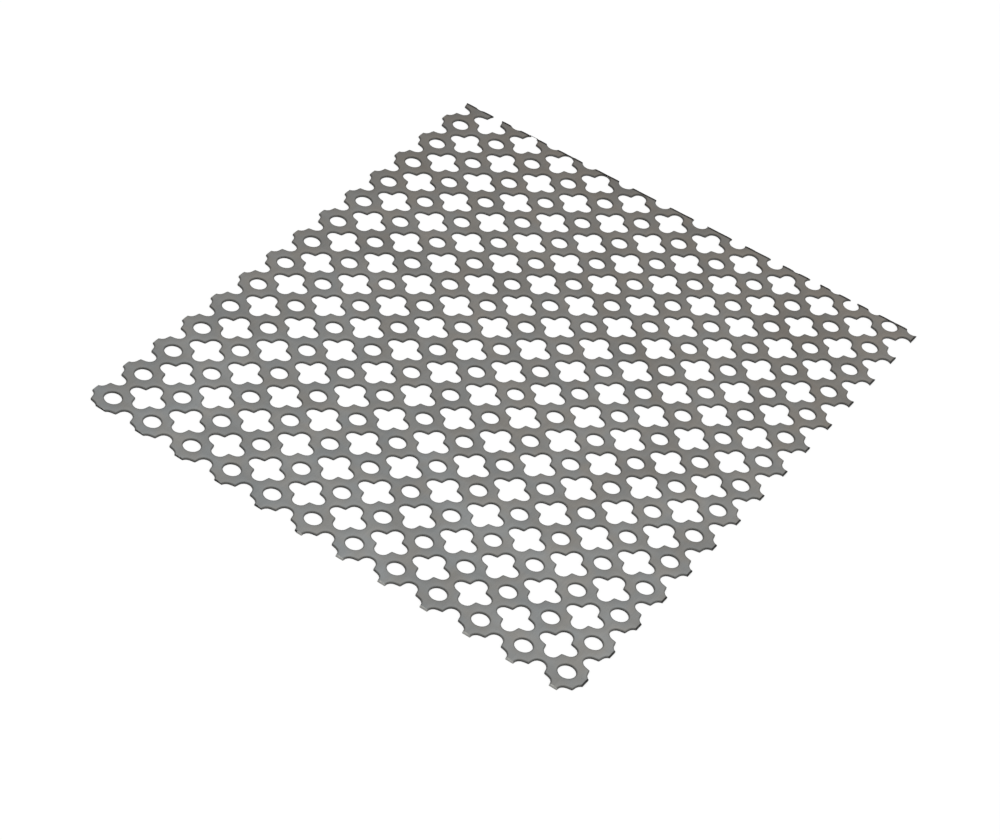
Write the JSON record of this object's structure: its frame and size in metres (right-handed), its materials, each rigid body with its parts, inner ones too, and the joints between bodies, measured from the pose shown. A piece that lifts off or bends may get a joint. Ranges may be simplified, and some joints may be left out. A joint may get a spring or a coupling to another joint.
{
  "type": "perforated metal sheet",
  "caption": "Flat steel sheet punched with a square grid of round holes and a clover-shaped hole in every square between them, for screens, covers and infill panels.",
  "frame": {"origin": "centre of the rectangle of the four corner screw holes, on the sheet's underside", "axes": "+X along the sheet's short side, +Y along its long side, +Z out of its top face; it lies flat on its underside"},
  "size_m": [0.2512, 0.3059, 0.001],
  "materials": {
    "bare_steel": "cold-rolled mild steel, uncoated, dull grey and faintly mottled"
  },
  "bodies": {
    "root": {"perforated_sheet": "bare_steel"}
  },
  "joints": []
}
